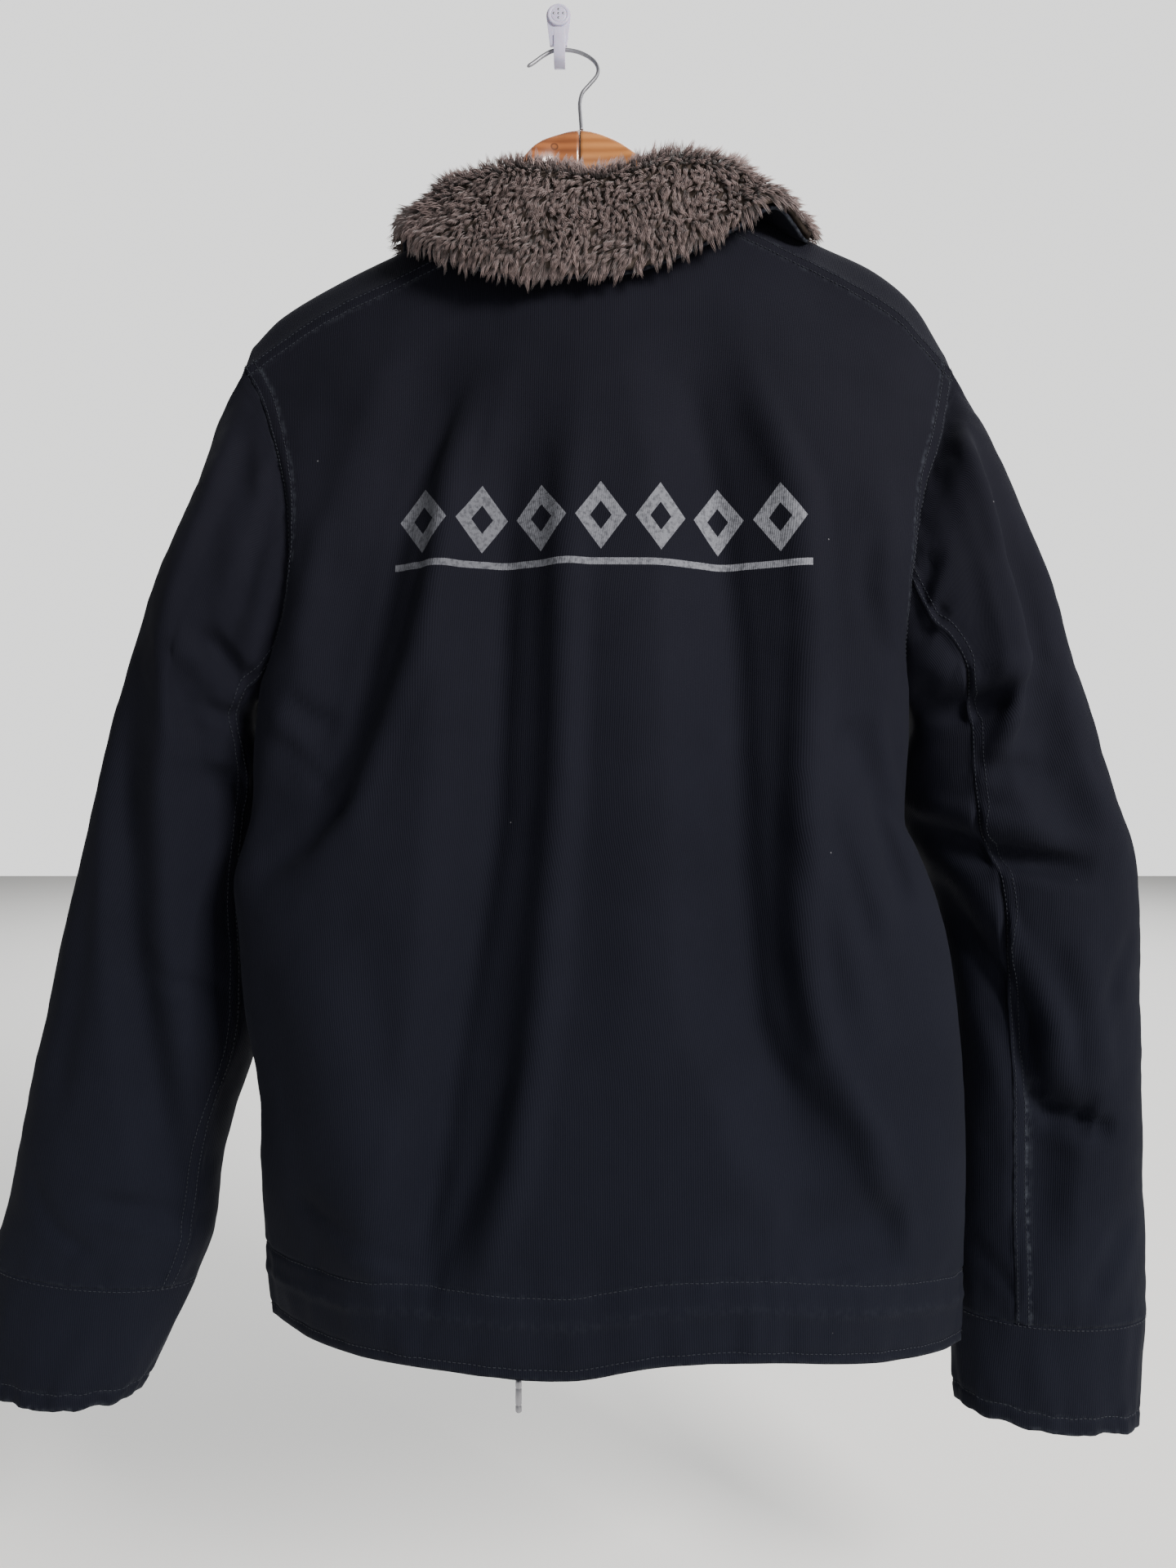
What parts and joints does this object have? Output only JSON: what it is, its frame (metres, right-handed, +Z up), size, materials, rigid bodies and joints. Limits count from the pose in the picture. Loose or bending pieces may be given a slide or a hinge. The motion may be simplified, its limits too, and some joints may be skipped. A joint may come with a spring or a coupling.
{
  "type": "deck jacket on a wooden hanger and wall hook",
  "caption": "Dark navy deck jacket with a fur collar, hung back to the room on a wooden hanger with a wire hook over a small plastic wall hook",
  "frame": {"origin": "on the wall, at the middle of the back face of the wall hook's plate", "axes": "x to the right as seen from the room, y into the wall, z up; the jacket's back faces -y"},
  "size_m": [0.7778, 0.1737, 1.016],
  "materials": {
    "cloth": "matt ribbed cotton",
    "fur": "deep pile",
    "wood": "gloss varnish",
    "steel": "satin",
    "plastic": "semi-gloss",
    "horn": "semi-gloss"
  },
  "bodies": {
    "root": {"back_panel": "cloth", "front_left": "cloth", "front_right": "cloth", "sleeve_upper_left": "cloth", "sleeve_under_left": "cloth", "sleeve_upper_right": "cloth", "sleeve_under_right": "cloth", "cuff_left": "cloth", "cuff_right": "cloth", "wind_flap": "cloth", "collar_under": "cloth", "drawcord": "cloth", "collar_pile": "fur", "hanger_wood_left": "wood", "hanger_wood_right": "wood", "hanger_wire": "steel", "cord_tip": "steel", "cord_eyelet": "steel", "wall_hook": "plastic", "button_1": "horn", "button_2": "horn", "button_3": "horn", "button_4": "horn", "button_5": "horn", "button_6": "horn"}
  },
  "joints": []
}
